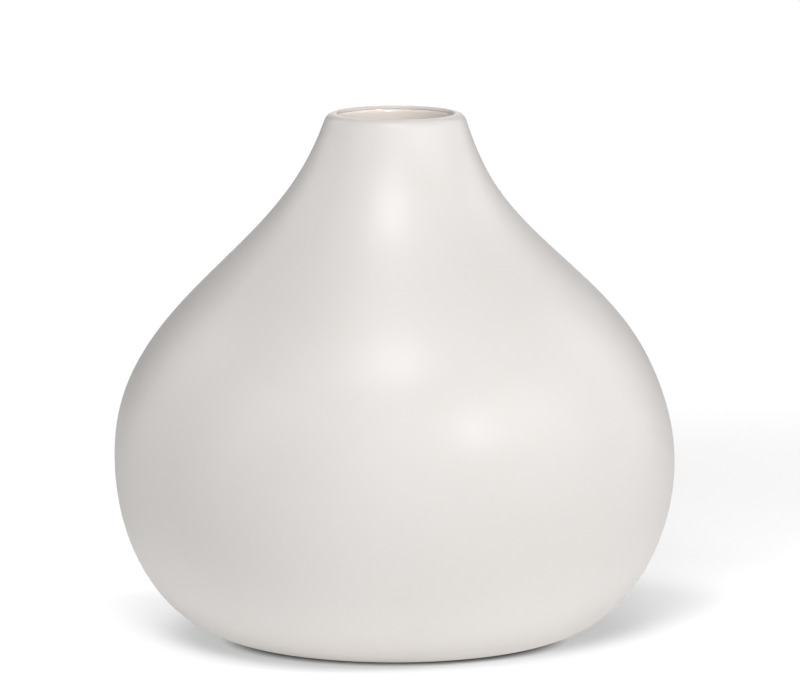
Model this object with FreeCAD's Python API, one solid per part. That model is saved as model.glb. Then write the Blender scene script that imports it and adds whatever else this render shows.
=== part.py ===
import FreeCAD, Part
import math
import os

# A ceramic bud vase: one fired clay vessel of revolution under three glaze coats, standing on
# four self-adhesive felt pads in the recess of its foot. Millimetres, +Z up. The origin is on
# the axis of the vase, level with the table that the pads stand on.

# Outer surface of the finished vase, as (radius, height) stations from the foot to the neck.
FOOT_LIFT = 0.5              # underside of the foot ring above the table
FOOT = (32.9, FOOT_LIFT)     # outer corner of the foot
HEEL = (45.4, 4.7)           # quick curve under the belly
BELLY = (63.2, 46.8)         # just above the widest girth
SHOULDER = (53.4, 71.1)      # where the wall leans in
NECK = (22.3, 105.3)         # hollow curve below the mouth
FOOT_HEADING = 8.6           # degrees up from level where the wall leaves the foot
LIP_HEADING = 108.5          # degrees up from level where the wall meets the lip

# The lip: a broad round outside and a tight one inside, meeting at the crest.
HEIGHT = 120.5               # crest of the lip
MOUTH_RADIUS = 13.1          # narrowest clear radius
LIP_OUTER_ROUND = 2.4
LIP_INNER_ROUND = 0.65

# Full wall thickness with both coats, at the foot, heel, belly, shoulder and neck stations.
WALL = (6.2, 5.2, 4.4, 4.1, 3.6)

# Glaze coats.
COAT = 0.4                   # outer coat and liner
GLAZE_TURN_IN = 0.1          # how far the outer coat runs on below the round of the lip, inside
BASE_COAT = 0.3              # coat in the foot recess
BASE_COAT_SETBACK = 0.7      # its lower edge above the foot's underside

# Foot ring and the recess inside it.
FOOT_EDGE_ROUND = 0.5
RECESS_RADIUS = 26.5
RECESS_DEPTH = 2.0
RECESS_CORNER_ROUND = 0.8

# Felt pads, each with its layer of adhesive.
PAD_COUNT = 4
PAD_FIRST_ANGLE = 45.0       # degrees from +X
PAD_CIRCLE_RADIUS = 19.0
PAD_RADIUS = 5.0
PAD_EDGE_ROUND = 0.25
ADHESIVE_RADIUS = 4.8
ADHESIVE_THICKNESS = 0.15

RECESS_TOP = FOOT_LIFT + RECESS_DEPTH
ADHESIVE_TOP = RECESS_TOP - BASE_COAT
PAD_THICKNESS = ADHESIVE_TOP - ADHESIVE_THICKNESS
CREST_RADIUS = MOUTH_RADIUS + LIP_INNER_ROUND


def at(radius, height):
    """Point or direction in the section plane."""
    return FreeCAD.Vector(radius, 0, height)


def heading(degrees):
    """Unit direction in the section plane, measured up from level."""
    return at(math.cos(math.radians(degrees)), math.sin(math.radians(degrees)))


def line(start, end):
    return Part.LineSegment(start, end).toShape()


def arc(centre, radius, first, last):
    """Arc about centre between two directions, in degrees up from level."""
    ends_and_middle = [centre + heading(angle) * radius for angle in (first, (first + last) / 2, last)]
    return Part.Arc(*ends_and_middle).toShape()


def turned(edges):
    """Solid swept by a closed section once round the axis."""
    section = Part.Face(Part.Wire(Part.__sortEdges__(edges)))
    return section.revolve(FreeCAD.Vector(0, 0, 0), FreeCAD.Vector(0, 0, 1), 360)


def smooth_wall(stations, first_heading, last_heading):
    """One smooth curve through the stations, leaving and arriving along the two headings."""
    curve = Part.BSplineCurve()
    curve.interpolate(Points=stations, InitialTangent=heading(first_heading),
                      FinalTangent=heading(last_heading), Scale=False)
    return curve


def inward(curve, depths):
    """Each station of a wall curve, moved towards the hollow by its own depth."""
    moved = []
    for knot, depth in zip(curve.getKnots(), depths):
        along = curve.tangent(knot)[0]
        moved.append(curve.value(knot) - at(along.z, -along.x) * depth)
    return moved


def wall_curves():
    """Outer glaze, outer clay, inner clay and inner glaze surfaces, from the foot to the lip."""
    lip_start = at(CREST_RADIUS, HEIGHT - LIP_OUTER_ROUND) + heading(LIP_HEADING - 90) * LIP_OUTER_ROUND
    stations = [at(*place) for place in (FOOT, HEEL, BELLY, SHOULDER, NECK)] + [lip_start]
    outer = smooth_wall(stations, FOOT_HEADING, LIP_HEADING)
    outer_clay = smooth_wall(inward(outer, [COAT] * len(stations)), FOOT_HEADING, LIP_HEADING)
    throat = at(MOUTH_RADIUS, HEIGHT - LIP_INNER_ROUND)
    inner = smooth_wall(inward(outer, WALL) + [throat], 0, 90)
    inner_clay = smooth_wall(inward(inner, [-COAT] * len(stations)), 0, 90)
    return outer, outer_clay, inner_clay, inner


def lip(depth):
    """The two arcs over the lip, at a depth below the finished surface."""
    outside = arc(at(CREST_RADIUS, HEIGHT - LIP_OUTER_ROUND), LIP_OUTER_ROUND - depth, LIP_HEADING - 90, 90)
    inside = arc(at(CREST_RADIUS, HEIGHT - LIP_INNER_ROUND), LIP_INNER_ROUND - depth, 90, 180)
    return [outside, inside]


def recess(coat, bottom):
    """Side, corner and roof of the foot recess under a coat, from bottom up and in to the axis."""
    side = RECESS_RADIUS - coat
    roof = RECESS_TOP - coat
    corner = at(RECESS_RADIUS - RECESS_CORNER_ROUND, RECESS_TOP - RECESS_CORNER_ROUND)
    return [line(at(side, bottom), at(side, corner.z)),
            arc(corner, RECESS_CORNER_ROUND - coat, 0, 90),
            line(at(corner.x, roof), at(0, roof))]


def foot_ring(clay_start):
    """Flat underside of the foot with a rounded edge each side, out to where the coat begins."""
    rise = clay_start.z - FOOT_LIFT
    flat_end = clay_start.x - math.sqrt(2 * rise * FOOT_EDGE_ROUND - rise ** 2)
    flat_start = RECESS_RADIUS + FOOT_EDGE_ROUND
    inner_centre = at(flat_start, FOOT_LIFT + FOOT_EDGE_ROUND)
    outer_centre = at(flat_end, FOOT_LIFT + FOOT_EDGE_ROUND)
    outer_last = math.degrees(math.asin((rise - FOOT_EDGE_ROUND) / FOOT_EDGE_ROUND))
    return [arc(inner_centre, FOOT_EDGE_ROUND, 180, 270),
            line(at(flat_start, FOOT_LIFT), at(flat_end, FOOT_LIFT)),
            arc(outer_centre, FOOT_EDGE_ROUND, -90, outer_last)]


def clay_body(outer_clay, inner_clay):
    floor = inner_clay.StartPoint
    edges = recess(0, FOOT_LIFT + FOOT_EDGE_ROUND) + foot_ring(outer_clay.StartPoint)
    edges += [outer_clay.toShape()] + lip(COAT) + [inner_clay.toShape()]
    edges += [line(floor, at(0, floor.z)), line(at(0, floor.z), at(0, RECESS_TOP))]
    return turned(edges)


def turn_in(curve):
    """Place on an inner wall curve where the outer coat stops and the liner starts."""
    return curve.parameterAtDistance(-GLAZE_TURN_IN, curve.LastParameter)


def outer_glaze(outer, outer_clay, inner_clay, inner):
    surface_end, clay_end = turn_in(inner), turn_in(inner_clay)
    edges = [outer.toShape()] + lip(0) + [inner.toShape(surface_end, inner.LastParameter)]
    edges += [outer_clay.toShape()] + lip(COAT) + [inner_clay.toShape(clay_end, inner_clay.LastParameter)]
    edges += [line(inner.value(surface_end), inner_clay.value(clay_end)),
              line(outer.StartPoint, outer_clay.StartPoint)]
    return turned(edges)


def liner_glaze(inner_clay, inner):
    surface_end, clay_end = turn_in(inner), turn_in(inner_clay)
    surface_floor, clay_floor = inner.StartPoint, inner_clay.StartPoint
    edges = [inner.toShape(inner.FirstParameter, surface_end),
             inner_clay.toShape(inner_clay.FirstParameter, clay_end),
             line(inner.value(surface_end), inner_clay.value(clay_end)),
             line(surface_floor, at(0, surface_floor.z)),
             line(clay_floor, at(0, clay_floor.z)),
             line(at(0, surface_floor.z), at(0, clay_floor.z))]
    return turned(edges)


def base_glaze():
    bottom = FOOT_LIFT + BASE_COAT_SETBACK
    edges = recess(0, bottom) + recess(BASE_COAT, bottom)
    edges += [line(at(RECESS_RADIUS, bottom), at(RECESS_RADIUS - BASE_COAT, bottom)),
              line(at(0, RECESS_TOP), at(0, RECESS_TOP - BASE_COAT))]
    return turned(edges)


def disc(radius, bottom, thickness, angle):
    """A round disc on the pad circle, at an angle in degrees from +X."""
    turn = math.radians(angle)
    centre = FreeCAD.Vector(math.cos(turn), math.sin(turn), 0) * PAD_CIRCLE_RADIUS
    centre.z = bottom
    return Part.makeCylinder(radius, thickness, centre)


def felt_pad(angle):
    """Die-cut felt disc; its lower rim is worn slightly round."""
    pad = disc(PAD_RADIUS, 0, PAD_THICKNESS, angle)
    lower_rim = [edge for edge in pad.Edges if edge.BoundBox.ZMax < PAD_EDGE_ROUND]
    return pad.makeFillet(PAD_EDGE_ROUND, lower_rim)


def pad_adhesive(angle):
    return disc(ADHESIVE_RADIUS, PAD_THICKNESS, ADHESIVE_THICKNESS, angle)


def all_nodes():
    outer, outer_clay, inner_clay, inner = wall_curves()
    nodes = {
        "clay_body": clay_body(outer_clay, inner_clay),
        "outer_glaze": outer_glaze(outer, outer_clay, inner_clay, inner),
        "liner_glaze": liner_glaze(inner_clay, inner),
        "base_glaze": base_glaze(),
    }
    for index in range(PAD_COUNT):
        angle = PAD_FIRST_ANGLE + index * 360 / PAD_COUNT
        nodes["felt_pad_%d" % (index + 1)] = felt_pad(angle)
        nodes["pad_adhesive_%d" % (index + 1)] = pad_adhesive(angle)
    return nodes


os.makedirs("parts", exist_ok=True)
for name, shape in all_nodes().items():
    shape.exportStep("parts/%s.step" % name)
    print("%-16s %10.1f mm3  valid %s  solids %d" % (name, shape.Volume, shape.isValid(), len(shape.Solids)))
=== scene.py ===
import math
from random import Random

import bmesh
import bpy
import numpy as np
from mathutils import Matrix, Vector, noise


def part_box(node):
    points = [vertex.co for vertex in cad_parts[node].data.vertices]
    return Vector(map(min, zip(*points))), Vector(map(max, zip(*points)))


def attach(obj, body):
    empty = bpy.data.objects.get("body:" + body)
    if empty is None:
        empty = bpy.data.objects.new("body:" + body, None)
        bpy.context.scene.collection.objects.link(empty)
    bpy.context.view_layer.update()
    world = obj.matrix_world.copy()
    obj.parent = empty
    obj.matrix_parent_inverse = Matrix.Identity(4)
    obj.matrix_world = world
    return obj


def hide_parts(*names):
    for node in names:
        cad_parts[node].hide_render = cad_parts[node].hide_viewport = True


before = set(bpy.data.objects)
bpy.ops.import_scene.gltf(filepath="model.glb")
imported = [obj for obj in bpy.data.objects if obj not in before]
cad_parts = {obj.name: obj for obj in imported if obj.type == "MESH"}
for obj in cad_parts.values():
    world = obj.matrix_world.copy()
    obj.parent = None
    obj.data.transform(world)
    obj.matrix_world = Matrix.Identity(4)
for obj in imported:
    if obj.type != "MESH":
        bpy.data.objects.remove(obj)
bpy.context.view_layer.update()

# A ceramic bud vase in a satin off-white glaze, on a white floor. Lengths named in millimetres
# are turned into metres by MM. Every piece stands for one node of the frame and has its shape.

MM = 0.001

# ---------------------------------------------------------------- shape of the vase, in mm

FOOT_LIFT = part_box("clay_body")[0].z / MM
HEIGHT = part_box("outer_glaze")[1].z / MM
RECESS_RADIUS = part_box("base_glaze")[1].x / MM
RECESS_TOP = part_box("base_glaze")[1].z / MM
PAD_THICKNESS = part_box("felt_pad_1")[1].z / MM
ADHESIVE_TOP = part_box("pad_adhesive_1")[1].z / MM

FOOT = (32.9, FOOT_LIFT)
HEEL = (45.4, 4.7)
BELLY = (63.2, 46.8)
SHOULDER = (53.4, 71.1)
NECK = (22.3, 105.3)
FOOT_HEADING = 8.6
LIP_HEADING = 108.5
MOUTH_RADIUS = 13.1
LIP_OUTER_ROUND = 2.4
LIP_INNER_ROUND = 0.65
CREST_RADIUS = MOUTH_RADIUS + LIP_INNER_ROUND
WALL = (6.2, 5.2, 4.4, 4.1, 3.6)
COAT = 0.4
GLAZE_TURN_IN = 0.1
BASE_COAT = 0.3
BASE_COAT_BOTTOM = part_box("base_glaze")[0].z / MM
FOOT_EDGE_ROUND = 0.5
RECESS_CORNER_ROUND = 0.8

BEAD_BULGE = 0.6             # how far a coat's rounded edge bulges, as a share of a half round
STEPS_PER_SPAN = 400         # fine steps along each span of a wall, before it is spaced evenly
SEGMENTS = 288               # columns of faces round the vase
DISC_SEGMENTS = 96           # and round a pad or its adhesive
WALL_ROWS = 165              # rows of faces up a visible wall
HIDDEN_ROWS = 48             # rows up a wall that another piece covers


def heading(degrees):
    """Unit direction in the section plane, measured up from level."""
    return np.array([math.cos(math.radians(degrees)), math.sin(math.radians(degrees))])


def cross_wall(direction):
    """Direction out of the vase, square to a direction that runs up the wall."""
    return np.stack([direction[..., 1], -direction[..., 0]], -1)


def smooth_wall(stations, first_heading, last_heading, rows):
    """Points and headings along one smooth curve through the stations, evenly spaced."""
    stations = np.array(stations)
    step = np.linalg.norm(np.diff(stations, axis=0), axis=1)
    count = len(stations)
    system, known = np.eye(count), np.zeros((count, 2))
    known[0], known[-1] = heading(first_heading), heading(last_heading)
    rise = np.diff(stations, axis=0) / step[:, None] ** 2
    for i in range(1, count - 1):
        system[i, i - 1:i + 2] = 1 / step[i - 1], 2 / step[i - 1] + 2 / step[i], 1 / step[i]
        known[i] = 3 * (rise[i - 1] + rise[i])
    slopes = np.linalg.solve(system, known)
    points = []
    for i in range(count - 1):
        s = np.linspace(0, 1, STEPS_PER_SPAN, endpoint=i == count - 2)[:, None]
        points.append((1 + 2 * s) * (1 - s) ** 2 * stations[i] + s ** 2 * (3 - 2 * s) * stations[i + 1]
                      + step[i] * s * (1 - s) * ((1 - s) * slopes[i] - s * slopes[i + 1]))
    return evenly(np.concatenate(points), rows), slopes


def evenly(points, rows):
    """The same polyline with its points at equal distances along it."""
    along = np.concatenate([[0], np.cumsum(np.linalg.norm(np.diff(points, axis=0), axis=1))])
    at = np.linspace(0, along[-1], rows + 1)
    return np.stack([np.interp(at, along, points[:, k]) for k in (0, 1)], -1)


def inward(stations, slopes, depths):
    """Each station moved towards the hollow by its own depth."""
    out = cross_wall(slopes / np.linalg.norm(slopes, axis=1)[:, None])
    return [station - side * depth for station, side, depth in zip(np.array(stations), out, depths)]


def arc(centre, radius, first, last, steps):
    """Points about a centre between two directions, in degrees up from level."""
    return np.array([np.array(centre) + radius * heading(first + (last - first) * i / steps)
                     for i in range(steps + 1)])


def line(start, end, steps):
    return np.linspace(start, end, steps + 1)


def bead(start, end, steps):
    """A rounded edge from start to end, bulging to the left of that direction."""
    start, end = np.array(start), np.array(end)
    middle, half = (start + end) / 2, (end - start) / 2
    left = np.array([-half[1], half[0]])
    angles = np.linspace(math.pi, 0, steps + 1)[:, None]
    return middle + half * np.cos(angles) + BEAD_BULGE * left * np.sin(angles)


def joined(*runs):
    """One polyline from several, without the doubled points where they meet."""
    points = [runs[0]]
    for run in runs[1:]:
        points.append(run[1:] if np.allclose(run[0], points[-1][-1], atol=1e-6) else run)
    return np.concatenate(points)


def lip(depth):
    """The lip from outside to inside, at a depth below its finished surface."""
    outside = arc((CREST_RADIUS, HEIGHT - LIP_OUTER_ROUND), LIP_OUTER_ROUND - depth, LIP_HEADING - 90, 90, 16)
    inside = arc((CREST_RADIUS, HEIGHT - LIP_INNER_ROUND), LIP_INNER_ROUND - depth, 90, 180, 10)
    return joined(outside, inside)


def wall_curves(rows):
    """Outer glaze, outer clay, inner clay and inner glaze surfaces, from the foot to the lip."""
    lip_centre = np.array([CREST_RADIUS, HEIGHT - LIP_OUTER_ROUND])
    lip_start = lip_centre + heading(LIP_HEADING - 90) * LIP_OUTER_ROUND
    stations = [FOOT, HEEL, BELLY, SHOULDER, NECK, tuple(lip_start)]
    outer, slopes = smooth_wall(stations, FOOT_HEADING, LIP_HEADING, rows)
    clay_stations = inward(stations, slopes, [COAT] * len(stations))
    outer_clay, _ = smooth_wall(clay_stations, FOOT_HEADING, LIP_HEADING, rows)
    throat = np.array([MOUTH_RADIUS, HEIGHT - LIP_INNER_ROUND])
    inner_stations = inward(stations, slopes, WALL) + [throat]
    inner, slopes = smooth_wall(inner_stations, 0, 90, rows)
    inner_clay, _ = smooth_wall(inward(inner_stations, slopes, [-COAT] * len(stations)), 0, 90, rows)
    return outer, outer_clay, inner_clay, inner


def split_below_lip(curve, rows):
    """An inner wall in two runs, parted where the outer coat meets the liner."""
    steps = np.linalg.norm(np.diff(curve[::-1], axis=0), axis=1)
    along = np.concatenate([[0], np.cumsum(steps)])
    joint = np.array([np.interp(GLAZE_TURN_IN, along, curve[::-1, k]) for k in (0, 1)])
    kept = curve[::-1][along > GLAZE_TURN_IN][::-1]
    below = np.concatenate([kept, [joint]])
    above = evenly(np.concatenate([[joint], curve[::-1][along < GLAZE_TURN_IN][::-1]]), rows)
    return below, above


# ---------------------------------------------------------------- hand-made irregularity

DRIFT = (0.25, 0.15)         # how far a ring's centre wanders along X and Y, in mm
DRIFT_PEAK = 0.64            # height where it is furthest along X, as a share of the vase's
DRIFT_WAVE = 0.37            # height of one full wander
FADE_HEIGHT = 0.5            # below this the drift and the oval fade out
OVAL = 0.0009                # two-lobed and three-lobed shares of the radius
THREE_LOBED = 0.0005


def settled(points):
    """The true shape with the faint sway and oval that drying and firing leave, in metres.

    Every ring keeps its size. Its centre drifts by up to a quarter of a millimetre, and the
    round goes oval by less than a tenth, both fading out towards the foot.
    """
    x, y, z = points[..., 0], points[..., 1], points[..., 2]
    height = z / (HEIGHT * MM)
    fade = np.clip(height / FADE_HEIGHT, 0, 1) ** 2
    wave = 2 * math.pi * (height - DRIFT_PEAK) / DRIFT_WAVE
    angle = np.arctan2(y, x)
    oval = 1 + fade * (OVAL * np.cos(2 * angle + 0.7) + THREE_LOBED * np.cos(3 * angle + 4 * height))
    drift_x = DRIFT[0] * MM * fade * np.cos(wave)
    drift_y = DRIFT[1] * MM * fade * np.sin(wave)
    return np.stack([x * oval + drift_x, y * oval + drift_y, z], -1)


def turned(name, section, closed, columns=SEGMENTS):
    """A mesh swept by a section of (radius, height) points in mm, of quads but at the axis."""
    turn = np.linspace(0, 2 * math.pi, columns, endpoint=False)
    verts, rings = [], []
    for radius, height in np.array(section) * MM:
        if radius < 1e-9:
            rings.append([len(verts)])
            verts.append((0.0, 0.0, height))
            continue
        rings.append(list(range(len(verts), len(verts) + columns)))
        verts.extend(zip(radius * np.cos(turn), radius * np.sin(turn), np.full(columns, height)))
    faces = []
    pairs = list(zip(rings, rings[1:] + rings[:1]))
    for low, high in pairs if closed else pairs[:-1]:
        for i in range(columns):
            j = (i + 1) % columns
            if len(low) == 1:
                faces.append((low[0], high[j], high[i]))
            elif len(high) == 1:
                faces.append((low[i], low[j], high[0]))
            else:
                faces.append((low[i], low[j], high[j], high[i]))
    return piece_from(name, settled(np.array(verts)), faces)


def piece_from(name, verts, faces):
    """A smooth-shaded object from points and faces, with its normals outwards."""
    mesh = bpy.data.meshes.new(name)
    mesh.from_pydata([tuple(v) for v in verts], [], faces)
    work = bmesh.new()
    work.from_mesh(mesh)
    bmesh.ops.recalc_face_normals(work, faces=work.faces)
    work.to_mesh(mesh)
    work.free()
    mesh.polygons.foreach_set("use_smooth", [True] * len(mesh.polygons))
    piece = bpy.data.objects.new(name, mesh)
    bpy.context.scene.collection.objects.link(piece)
    return piece


# ---------------------------------------------------------------- ceramic pieces


def recess(coat, bottom):
    """Side, corner and roof of the foot recess under a coat, from bottom up and in to the axis."""
    side, roof = RECESS_RADIUS - coat, RECESS_TOP - coat
    corner = (RECESS_RADIUS - RECESS_CORNER_ROUND, RECESS_TOP - RECESS_CORNER_ROUND)
    return joined(line((side, bottom), (side, corner[1]), 4),
                  arc(corner, RECESS_CORNER_ROUND - coat, 0, 90, 8),
                  line((corner[0], roof), (0, roof), 10))


def foot_ring(clay_start):
    """Flat underside of the foot with a rounded edge each side, out to where the coat begins."""
    rise = clay_start[1] - FOOT_LIFT
    flat_end = clay_start[0] - math.sqrt(2 * rise * FOOT_EDGE_ROUND - rise ** 2)
    flat_start = RECESS_RADIUS + FOOT_EDGE_ROUND
    centre_height = FOOT_LIFT + FOOT_EDGE_ROUND
    outer_last = math.degrees(math.asin((rise - FOOT_EDGE_ROUND) / FOOT_EDGE_ROUND))
    return joined(arc((flat_start, centre_height), FOOT_EDGE_ROUND, 180, 270, 6),
                  line((flat_start, FOOT_LIFT), (flat_end, FOOT_LIFT), 24),
                  arc((flat_end, centre_height), FOOT_EDGE_ROUND, -90, outer_last, 6))


def make_clay_body():
    _, outer_clay, inner_clay, _ = wall_curves(HIDDEN_ROWS)
    floor = inner_clay[0]
    section = joined(recess(0, FOOT_LIFT + FOOT_EDGE_ROUND)[::-1], foot_ring(outer_clay[0]), outer_clay,
                     lip(COAT), inner_clay[::-1], line(floor, (0, floor[1]), 6))
    return turned("clay", section, closed=False)


def make_outer_glaze():
    outer, _, _, inner = wall_curves(WALL_ROWS)
    _, outer_clay, inner_clay, _ = wall_curves(HIDDEN_ROWS)
    _, inside = split_below_lip(inner, 2)
    _, clay_inside = split_below_lip(inner_clay, 2)
    section = joined(outer, lip(0), inside[::-1], bead(inside[0], clay_inside[0], 4),
                     clay_inside, lip(COAT)[::-1], outer_clay[::-1], bead(outer_clay[0], outer[0], 6))
    return turned("outer_coat", section[:-1], closed=True)


def make_liner_glaze():
    _, _, inner_clay, inner = wall_curves(WALL_ROWS)
    surface, _ = split_below_lip(inner, 2)
    clay, _ = split_below_lip(inner_clay, 2)
    section = joined(line((0, inner[0][1]), inner[0], 6), surface,
                     bead(surface[-1], clay[-1], 4), clay[::-1], line(clay[0], (0, clay[0][1]), 6))
    return turned("liner_coat", section, closed=False)


def make_base_glaze():
    under, above = recess(BASE_COAT, BASE_COAT_BOTTOM), recess(0, BASE_COAT_BOTTOM)
    section = joined(under[::-1], bead(under[0], above[0], 4), above)
    return turned("base_coat", section, closed=False)


# ---------------------------------------------------------------- felt pads and adhesive

PAD_FIBRES = 420             # loose fibres that stand out of each pad
FIBRE_RADIUS = 0.022
FIBRE_LENGTH = (0.5, 1.3)
FIBRE_DROOP = 0.5            # how far a fibre's tip curls back towards the pad
FIBRE_STEPS = (0, 0.35, 0.7, 1)
PAD_INSET = 0.08             # room between the disc and the node's radius, for the fibres
PAD_BOTTOM = 0.02            # the disc's underside; the loose fibres reach down to the table
PAD_LOWER_ROUND = 0.3
PAD_UPPER_ROUND = 0.1


def pad_place(index):
    """Centre and radius of one pad in the frame, in mm."""
    lowest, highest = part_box("felt_pad_%d" % index)
    centre = (lowest + highest) / 2 / MM
    return centre.x, centre.y, (highest.x - lowest.x) / 2 / MM


def disc_section(radius, bottom, top, low_round, high_round):
    """Half section of a round disc with both rims rounded, from the axis to the axis, in mm."""
    return joined(line((0, bottom), (radius - low_round, bottom), 12),
                  arc((radius - low_round, bottom + low_round), low_round, -90, 0, 6),
                  line((radius, bottom + low_round), (radius, top - high_round), 8),
                  arc((radius - high_round, top - high_round), high_round, 0, 90, 4),
                  line((radius - high_round, top), (0, top), 8))


def moved(piece, x, y):
    """Shifts a piece's mesh sideways by millimetres, so that its object stays at the origin."""
    piece.data.transform(Matrix.Translation((x * MM, y * MM, 0)))
    return piece


def fibre(random, radius, bottom, top):
    """Four points of one curved fibre that leaves the felt's side or underside, in mm."""
    turn = random.uniform(0, 2 * math.pi)
    outward = np.array([math.cos(turn), math.sin(turn), 0])
    around = np.array([-outward[1], outward[0], 0])
    root = outward * radius * 0.985
    root[2] = random.uniform(bottom + 0.15, top - 0.15)
    lean = outward * random.uniform(0.15, 0.5) + around * random.uniform(-1, 1)
    lean[2] = random.uniform(-0.5, 0.5)
    length = random.uniform(*FIBRE_LENGTH) / np.linalg.norm(lean)
    curl = np.array([random.uniform(-1, 1) for _ in range(3)]) * 0.25
    points = [root + lean * length * s + curl * s * (1 - s) - outward * FIBRE_DROOP * s * s
              for s in FIBRE_STEPS]
    for point in points:
        point[2] = min(max(point[2], bottom + FIBRE_RADIUS), top)
    return points


def add_fibres(piece, index, radius, bottom, top):
    """Joins loose fibres to a felt pad as three-sided tapering tubes."""
    random = Random(index)
    verts, faces = [], []
    for _ in range(PAD_FIBRES):
        points = fibre(random, radius, bottom, top)
        first = len(verts)
        for step, point in enumerate(points):
            width = FIBRE_RADIUS * (1 - 0.6 * step / 3)
            for side in range(3):
                angle = 2 * math.pi * side / 3
                spoke = np.array([math.cos(angle), math.sin(angle), math.cos(angle + 1)])
                verts.append((point + width * spoke) * MM)
        for step in range(3):
            for side in range(3):
                low, high = first + 3 * step, first + 3 * step + 3
                after = (side + 1) % 3
                faces.append((low + side, low + after, high + after, high + side))
        faces += [(first + 2, first + 1, first), (first + 9, first + 10, first + 11)]
    work = bmesh.new()
    work.from_mesh(piece.data)
    made = [work.verts.new(v) for v in verts]
    for face in faces:
        work.faces.new([made[i] for i in face]).smooth = True
    work.to_mesh(piece.data)
    work.free()


def make_felt_pad(index):
    """A die-cut disc of pressed felt with an uneven, fibrous side."""
    x, y, radius = pad_place(index)
    radius_inside = radius - PAD_INSET
    section = disc_section(radius_inside, PAD_BOTTOM, PAD_THICKNESS, PAD_LOWER_ROUND, PAD_UPPER_ROUND)
    piece = turned("pad_%d" % index, section, False, DISC_SEGMENTS)
    for vertex in piece.data.vertices:
        spot = vertex.co / MM + Vector((9.0 * index, 0, 0))
        push = 0.07 * noise.noise(spot * 2.2) + 0.03 * noise.noise(spot * 7.0)
        if vertex.co.z < (PAD_THICKNESS - 0.01) * MM:
            vertex.co.xy *= 1 + push / radius
            vertex.co.z = max(vertex.co.z + 0.3 * abs(push) * MM, 0)
    add_fibres(piece, index, radius_inside, PAD_BOTTOM, PAD_THICKNESS)
    return moved(piece, x, y)


def make_adhesive(index):
    """The adhesive layer over a pad, with its squeezed-out rim."""
    x, y, _ = pad_place(index)
    lowest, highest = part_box("pad_adhesive_%d" % index)
    radius = (highest.x - lowest.x) / 2 / MM
    bead_round = (ADHESIVE_TOP - PAD_THICKNESS) * 0.49
    section = disc_section(radius, PAD_THICKNESS, ADHESIVE_TOP, bead_round, bead_round)
    return moved(turned("adhesive_%d" % index, section, False, DISC_SEGMENTS), x, y)


# ---------------------------------------------------------------- materials


def new_material(name):
    material = bpy.data.materials.new(name)
    material.use_nodes = True
    return material, material.node_tree, material.node_tree.nodes["Principled BSDF"]


def add(tree, kind, inputs, **settings):
    """A new shader node with its settings, and with each input set to a number or linked."""
    node = tree.nodes.new("ShaderNode" + kind)
    for name, value in settings.items():
        setattr(node, name, value)
    for name, value in inputs.items():
        if isinstance(value, bpy.types.NodeSocket):
            tree.links.new(value, node.inputs[name])
        else:
            node.inputs[name].default_value = value
    return node


def place(tree):
    """Position on the piece, in metres."""
    return add(tree, "TexCoord", {}).outputs["Object"]


def noise_at(tree, where, size, detail=2.0, roughness=0.5):
    """Smooth noise from 0 to 1 with features of about this size, in millimetres."""
    inputs = {"Vector": where, "Scale": 1000 / size, "Detail": detail, "Roughness": roughness}
    return add(tree, "TexNoise", inputs).outputs["Fac"]


def between(tree, value, low, high, to_low=0.0, to_high=1.0):
    """A value remapped from one range to another and kept inside it."""
    inputs = {"Value": value, "From Min": low, "From Max": high, "To Min": to_low, "To Max": to_high}
    return add(tree, "MapRange", inputs, interpolation_type="SMOOTHSTEP").outputs["Result"]


def mixed(tree, fac, first, second):
    node = add(tree, "Mix", {}, data_type="RGBA")
    for socket, value in ((node.inputs[0], fac), (node.inputs[6], first), (node.inputs[7], second)):
        if isinstance(value, bpy.types.NodeSocket):
            tree.links.new(value, socket)
        else:
            socket.default_value = value
    return node.outputs[2]


def maths(tree, operation, *values):
    node = add(tree, "Math", {}, operation=operation)
    for socket, value in zip(node.inputs, values):
        if isinstance(value, bpy.types.NodeSocket):
            tree.links.new(value, socket)
        else:
            socket.default_value = value
    return node.outputs[0]


def specks(tree, where, spacing, radius, share):
    """Mask of sparse round specks: a share of the cells of this spacing hold one, in mm."""
    cells = add(tree, "TexVoronoi", {"Vector": where, "Scale": 1000 / spacing})
    chosen = add(tree, "SeparateColor", {"Color": cells.outputs["Color"]})
    kept = maths(tree, "LESS_THAN", chosen.outputs[0], share)
    near = between(tree, cells.outputs["Distance"], radius / spacing, 0.4 * radius / spacing)
    return maths(tree, "MULTIPLY", near, kept)


def bump(tree, height, distance, strength=1.0, normal=None):
    """A normal from a height of 0 to 1, standing for a relief of this many millimetres."""
    inputs = {"Height": height, "Distance": distance * MM, "Strength": strength}
    if normal:
        inputs["Normal"] = normal
    return add(tree, "Bump", inputs).outputs["Normal"]


def height_of(tree, where):
    return add(tree, "SeparateXYZ", {"Vector": where}).outputs["Z"]


GLAZE_WHITE = (0.838, 0.808, 0.784, 1)
GLAZE_SHADE = (0.821, 0.792, 0.766, 1)
# Colour of thin glaze; near the foot it also serves as painted warm shade.
GLAZE_THIN_AND_FOOT_SHADE = (0.755, 0.705, 0.650, 1)
LINER_WARM = (0.86, 0.795, 0.74, 1)
LINER_SHADE = (0.83, 0.755, 0.695, 1)
SPECK_BROWN = (0.30, 0.25, 0.20, 1)


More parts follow.
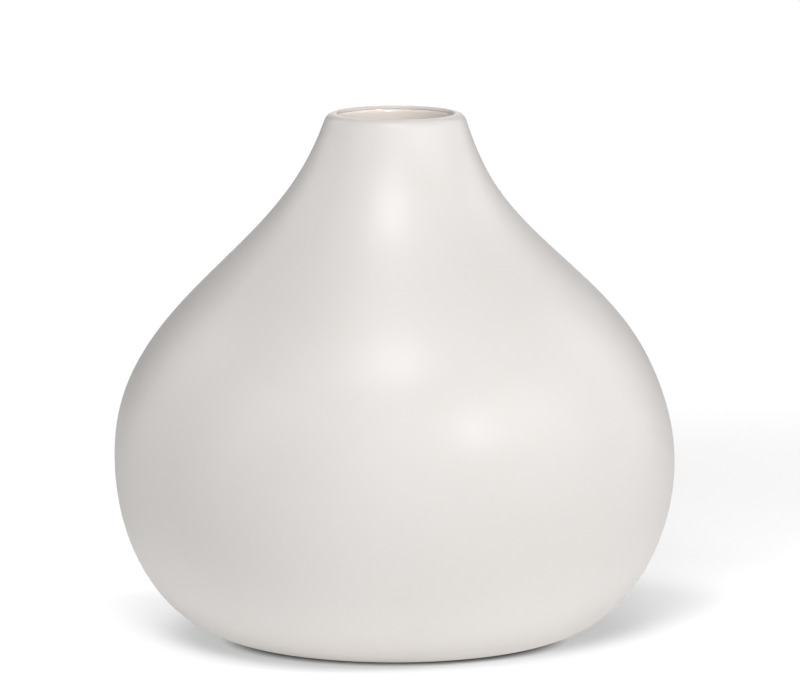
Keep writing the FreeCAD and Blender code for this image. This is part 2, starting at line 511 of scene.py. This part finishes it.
def satin_glaze():
    """Satin-matt white: faint cloudiness, thin at the lip, thin at the foot and darkened there by painted
    warm shade, rare specks and pinholes.
    """
    material, tree, shader = new_material("satin_glaze")
    where = place(tree)
    cloud = between(tree, noise_at(tree, where, 45, 3), 0.35, 0.65)
    colour = mixed(tree, cloud, GLAZE_WHITE, GLAZE_SHADE)
    height = height_of(tree, where)
    # Over its lowest few millimetres the glaze turns darker and pinker: partly thin glaze at the foot, partly
    # painted warm shade from the floor.
    edge = noise_at(tree, where, 6, 2)
    above_foot = maths(tree, "ADD", height, maths(tree, "MULTIPLY", edge, -1.5 * MM))
    thin_foot_and_painted_shade = between(tree, above_foot, 1.6 * MM, 0.2 * MM, 0.0, 0.7)
    thin_lip = between(tree, height, (HEIGHT - 0.7) * MM, HEIGHT * MM, 0.0, 0.35)
    colour = mixed(tree, maths(tree, "ADD", thin_foot_and_painted_shade, thin_lip), colour, GLAZE_THIN_AND_FOOT_SHADE)
    across = add(tree, "VectorMath", {0: where, 1: (1, 1, 0)}, operation="MULTIPLY").outputs["Vector"]
    radius = add(tree, "VectorMath", {0: across}, operation="LENGTH").outputs["Value"]
    high = maths(tree, "GREATER_THAN", height, (HEIGHT - 4) * MM)
    inside = between(tree, radius, (CREST_RADIUS + 0.05) * MM, (CREST_RADIUS - 0.30) * MM)
    colour = mixed(tree, maths(tree, "MULTIPLY", inside, high), colour, LINER_WARM)
    iron = specks(tree, where, 14, 0.20, 0.10)
    colour = mixed(tree, maths(tree, "MULTIPLY", iron, 0.55), colour, SPECK_BROWN)
    tree.links.new(colour, shader.inputs["Base Color"])
    rough = between(tree, noise_at(tree, where, 18, 3), 0.3, 0.7, 0.34, 0.39)
    tree.links.new(rough, shader.inputs["Roughness"])
    pinhole = specks(tree, where, 17, 0.16, 0.12)
    ripple = bump(tree, noise_at(tree, where, 9, 2), 0.035)
    skin = bump(tree, noise_at(tree, where, 0.9, 3), 0.004, normal=ripple)
    tree.links.new(bump(tree, pinhole, -0.12, normal=skin), shader.inputs["Normal"])
    return material


def glossy_liner():
    """The same white, warmer and fully melted, so that it shines."""
    material, tree, shader = new_material("liner_glaze")
    where = place(tree)
    cloud = between(tree, noise_at(tree, where, 20, 3), 0.3, 0.7)
    tree.links.new(mixed(tree, cloud, LINER_WARM, LINER_SHADE), shader.inputs["Base Color"])
    ripple = noise_at(tree, where, 5, 2)
    tree.links.new(between(tree, ripple, 0.3, 0.7, 0.10, 0.16), shader.inputs["Roughness"])
    tree.links.new(bump(tree, ripple, 0.03), shader.inputs["Normal"])
    return material


def recess_glaze():
    """A thin satin coat, mottled where the clay shows through, with pinholes."""
    material, tree, shader = new_material("base_glaze")
    where = place(tree)
    mottle = between(tree, noise_at(tree, where, 3.5, 4), 0.42, 0.62)
    colour = mixed(tree, mottle, GLAZE_WHITE, GLAZE_THIN_AND_FOOT_SHADE)
    pinhole = specks(tree, where, 3.2, 0.22, 0.35)
    colour = mixed(tree, maths(tree, "MULTIPLY", pinhole, 0.5), colour, SPECK_BROWN)
    tree.links.new(colour, shader.inputs["Base Color"])
    tree.links.new(between(tree, mottle, 0, 1, 0.36, 0.5), shader.inputs["Roughness"])
    ripple = bump(tree, noise_at(tree, where, 2.5, 2), 0.05)
    tree.links.new(bump(tree, pinhole, -0.12, normal=ripple), shader.inputs["Normal"])
    return material


def bare_clay():
    """Fired stoneware, sponged smooth: fine grog, open pores and a few iron spots."""
    material, tree, shader = new_material("bare_clay")
    where = place(tree)
    body = mixed(tree, noise_at(tree, where, 4, 4), (0.66, 0.575, 0.48, 1), (0.74, 0.665, 0.575, 1))
    grog = specks(tree, where, 1.1, 0.22, 0.5)
    body = mixed(tree, maths(tree, "MULTIPLY", grog, 0.45), body, (0.84, 0.79, 0.72, 1))
    iron = specks(tree, where, 1.9, 0.2, 0.22)
    body = mixed(tree, maths(tree, "MULTIPLY", iron, 0.7), body, (0.27, 0.19, 0.13, 1))
    tree.links.new(body, shader.inputs["Base Color"])
    shader.inputs["Roughness"].default_value = 0.88
    shader.inputs["Specular IOR Level"].default_value = 0.3
    grain = bump(tree, noise_at(tree, where, 0.35, 3, 0.7), 0.05)
    tree.links.new(bump(tree, grog, 0.04, normal=grain), shader.inputs["Normal"])
    return material


def pressed_felt():
    """Matted wool fibres: streaks in all directions, soft sheen."""
    material, tree, shader = new_material("felt")
    where = place(tree)
    streaks = []
    for turn in (0.3, 1.4, 2.5):
        inputs = {"Vector": where, "Rotation": (turn, 0.6 * turn, turn), "Scale": (1, 1, 9)}
        mapping = add(tree, "Mapping", inputs)
        streaks.append(noise_at(tree, mapping.outputs["Vector"], 1.6, 3, 0.65))
    fibres = maths(tree, "MAXIMUM", maths(tree, "MAXIMUM", streaks[0], streaks[1]), streaks[2])
    tone = between(tree, fibres, 0.45, 0.75)
    colour = mixed(tree, tone, (0.56, 0.52, 0.46, 1), (0.82, 0.79, 0.73, 1))
    tree.links.new(colour, shader.inputs["Base Color"])
    shader.inputs["Roughness"].default_value = 0.95
    shader.inputs["Sheen Weight"].default_value = 0.5
    shader.inputs["Specular IOR Level"].default_value = 0.15
    tree.links.new(bump(tree, fibres, 0.18), shader.inputs["Normal"])
    return material


def clear_adhesive():
    """A milky acrylic layer with fine bubbles."""
    material, tree, shader = new_material("adhesive")
    where = place(tree)
    bubbles = specks(tree, where, 0.8, 0.16, 0.6)
    colour = mixed(tree, bubbles, (0.78, 0.75, 0.66, 1), (0.88, 0.87, 0.82, 1))
    tree.links.new(colour, shader.inputs["Base Color"])
    shader.inputs["Roughness"].default_value = 0.22
    tree.links.new(bump(tree, bubbles, 0.03), shader.inputs["Normal"])
    return material


# ---------------------------------------------------------------- the pieces, each for its node

glaze = satin_glaze()
felt = pressed_felt()
adhesive = clear_adhesive()
pieces = [
    (make_clay_body(), "clay_body", "bare_clay", bare_clay()),
    (make_outer_glaze(), "outer_glaze", "satin_glaze", glaze),
    (make_liner_glaze(), "liner_glaze", "liner_glaze", glossy_liner()),
    (make_base_glaze(), "base_glaze", "base_glaze", recess_glaze()),
]
for index in (1, 2, 3, 4):
    pieces.append((make_felt_pad(index), "felt_pad_%d" % index, "felt", felt))
    pieces.append((make_adhesive(index), "pad_adhesive_%d" % index, "adhesive", adhesive))
for piece, node, slot, material in pieces:
    piece.data.materials.append(material)
    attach(piece, "root")
    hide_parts(node)

# ---------------------------------------------------------------- floor, backdrop and lights

# The studio is white and overexposed. A bounce floor takes the light of the vase's lamps and
# throws it back, unseen. The floor that shows has lamps of its own, and turns to plain white
# further out, like the dome behind it.

BOUNCE_GLOW = 0.13           # extra light off the bounce floor near the vase
BOUNCE_REACH = (0.14, 0.10)  # none beyond the first distance, all of it within the second
FOOT_GLOW = 0.08             # and again close round the foot
FOOT_REACH = (0.056, 0.036)
SKY_LIGHT = 0.39             # even light on the shown floor, less where the vase covers it
# A painted contact shadow: within these distances of the axis the shown floor's colour and sky light go dark.
PAINTED_SHADOW_SCALE = (0.9, 1, 1)  # the painted contact shadow under the foot reaches further out at the sides
PAINTED_SHADOW_REACH = (0.0300, 0.0362)
PAINTED_SHADOW_LEFT = 0.08          # share of the floor's light that is left in the painted contact shadow
WHITE_REACH = (0.20, 0.45)   # where the floor goes over to plain white
PLAIN_WHITE = 1.05
FLOOR_HALF = 2.5
DOME_RADIUS = 4.0
AIM = Vector((0, 0, 0.06))   # what every lamp faces
LAMP_DISTANCE = 1.2

# Name, azimuth, elevation, width in metres, power in watts. Azimuth 0 is in front, 90 is right.
VASE_LAMPS = (
    ("overhead", -5, 65, 0.50, 5.5),
    ("key", 35, 25, 0.15, 3.0),
    ("right", 75, 20, 0.50, 1.0),
)
FLOOR_LAMPS = (
    ("floor_high", -45, 55, 0.50, 5.0),
    ("floor_front", 0, 30, 0.40, 6.0),
    ("floor_low_front", -20, 5, 0.40, 35.0),
    ("floor_low_right", 80, 5, 0.50, 30.0),
)
FILL_RINGS = ((5, 0.9), (30, 1.3))   # elevation and power of each lamp in an even ring
FILL_COUNT = 6
FILL_WIDTH = 0.50
MOUTH_LAMP = ("into_mouth", 15, 15, 0.25, 4.5)


def soft_box(name, azimuth, elevation, width, power, lit):
    """A square lamp that only lights the objects of one collection. The camera can't see it."""
    data = bpy.data.lights.new(name, "AREA")
    data.size = width
    data.energy = power
    lamp = bpy.data.objects.new(name, data)
    turn, rise = math.radians(azimuth - 90), math.radians(elevation)
    outward = Vector((math.cos(turn) * math.cos(rise), math.sin(turn) * math.cos(rise), math.sin(rise)))
    lamp.location = AIM + outward * LAMP_DISTANCE
    lamp.rotation_euler = outward.to_track_quat("Z", "Y").to_euler()
    lamp.visible_camera = False
    bpy.context.scene.collection.objects.link(lamp)
    lamp.light_linking.receiver_collection = lit


def stage_piece(name, mesh, material, seen):
    """A floor or backdrop. One that is seen does nothing else; one that isn't only bounces light."""
    piece = bpy.data.objects.new(name, mesh)
    bpy.context.scene.collection.objects.link(piece)
    mesh.materials.append(material)
    piece.visible_camera = seen
    piece.visible_diffuse = piece.visible_glossy = piece.visible_transmission = not seen
    piece.visible_shadow = False
    return piece


def square(name):
    mesh = bpy.data.meshes.new(name)
    half = FLOOR_HALF
    corners = [(-half, -half, 0), (half, -half, 0), (half, half, 0), (-half, half, 0)]
    mesh.from_pydata(corners, [], [(0, 1, 2, 3)])
    return mesh


def ball(name, radius):
    mesh = bpy.data.meshes.new(name)
    work = bmesh.new()
    bmesh.ops.create_icosphere(work, subdivisions=3, radius=radius)
    work.to_mesh(mesh)
    work.free()
    return mesh


def distance_out(tree, scale=(1, 1, 1)):
    """Distance from the vase's axis over the floor, in metres, with each direction scaled."""
    offset = add(tree, "VectorMath", {0: place(tree), 1: scale}, operation="MULTIPLY").outputs["Vector"]
    return add(tree, "VectorMath", {0: offset}, operation="LENGTH").outputs["Value"]


def bounce_material():
    material, tree, shader = new_material("bounce_floor")
    shader.inputs["Base Color"].default_value = (0.9, 0.9, 0.9, 1)
    shader.inputs["Roughness"].default_value = 0.9
    shader.inputs["Emission Color"].default_value = (1, 0.99, 0.98, 1)
    distance = distance_out(tree)
    glow = maths(tree, "ADD", between(tree, distance, *BOUNCE_REACH, 0, BOUNCE_GLOW),
                 between(tree, distance, *FOOT_REACH, 0, FOOT_GLOW))
    tree.links.new(glow, shader.inputs["Emission Strength"])
    return material


def white_light(tree, strength):
    return add(tree, "Emission", {"Strength": strength}).outputs["Emission"]


def shown_floor_material():
    """Matt white under its own lamps and an even sky, with a painted contact shadow in a ring under the foot,
    going over to plain white further out.
    """
    material, tree, shader = new_material("shown_floor")
    shader.inputs["Roughness"].default_value = 0.9
    distance = distance_out(tree)
    # Painted contact shadow: the floor's colour and its sky light fall towards black in a ring under the
    # foot.
    clear_of_painted_shadow = between(tree, distance_out(tree, PAINTED_SHADOW_SCALE), *PAINTED_SHADOW_REACH, PAINTED_SHADOW_LEFT, 1.0)
    tree.links.new(mixed(tree, clear_of_painted_shadow, (0, 0, 0, 1), (0.9, 0.9, 0.9, 1)), shader.inputs["Base Color"])
    open_sky = add(tree, "AmbientOcclusion", {"Distance": 1.0}, samples=16).outputs["AO"]
    even = maths(tree, "MULTIPLY", clear_of_painted_shadow, SKY_LIGHT)
    sky = white_light(tree, maths(tree, "MULTIPLY", open_sky, even))
    near = add(tree, "AddShader", {0: shader.outputs["BSDF"], 1: sky}).outputs["Shader"]
    further = between(tree, distance, *WHITE_REACH)
    both = add(tree, "MixShader", {0: further, 1: near, 2: white_light(tree, PLAIN_WHITE)})
    tree.links.new(both.outputs["Shader"], tree.nodes["Material Output"].inputs["Surface"])
    return material


def plain_white():
    material, tree, _ = new_material("backdrop")
    tree.links.new(white_light(tree, PLAIN_WHITE), tree.nodes["Material Output"].inputs["Surface"])
    return material


bounce_floor = stage_piece("bounce_floor", square("bounce_floor"), bounce_material(), False)
shown_floor = stage_piece("shown_floor", square("shown_floor"), shown_floor_material(), True)
stage_piece("backdrop", ball("backdrop", DOME_RADIUS), plain_white(), True)

lit_with_vase = bpy.data.collections.new("lit_with_vase")
for thing in [piece for piece, _, _, _ in pieces] + [bounce_floor]:
    lit_with_vase.objects.link(thing)
lit_floor = bpy.data.collections.new("lit_floor")
lit_floor.objects.link(shown_floor)
for lamp in VASE_LAMPS:
    soft_box(*lamp, lit_with_vase)
for elevation, power in FILL_RINGS:
    for step in range(FILL_COUNT):
        azimuth = step * 360 / FILL_COUNT
        soft_box("fill_%d_%d" % (elevation, azimuth), azimuth, elevation, FILL_WIDTH, power, lit_with_vase)
for lamp in FLOOR_LAMPS:
    soft_box(*lamp, lit_floor)
lit_in_mouth = bpy.data.collections.new("lit_in_mouth")
lit_in_mouth.objects.link(bpy.data.objects["liner_coat"])
soft_box(*MOUTH_LAMP, lit_in_mouth)

world = bpy.data.worlds.new("studio")
world.use_nodes = True
world.node_tree.nodes["Background"].inputs["Color"].default_value = (0, 0, 0, 1)
bpy.context.scene.world = world
bpy.context.scene.view_settings.view_transform = "Standard"

# ---------------------------------------------------------------- camera

CAMERA_SIDE = 0.00127        # how far right of the axis the camera stands and aims, in metres
CAMERA_BACK = 2.0
CAMERA_HEIGHT = 0.3565
AIM_HEIGHT = 0.0681
LENS = 401.6                 # focal length in mm

camera_data = bpy.data.cameras.new("camera")
camera_data.lens = LENS
camera_data.sensor_width = 36.0
camera_data.clip_end = 20
camera = bpy.data.objects.new("camera", camera_data)
camera.location = (CAMERA_SIDE, -CAMERA_BACK, CAMERA_HEIGHT)
aim = Vector((CAMERA_SIDE, 0, AIM_HEIGHT))
camera.rotation_euler = (camera.location - aim).to_track_quat("Z", "Y").to_euler()
bpy.context.scene.collection.objects.link(camera)
bpy.context.scene.camera = camera
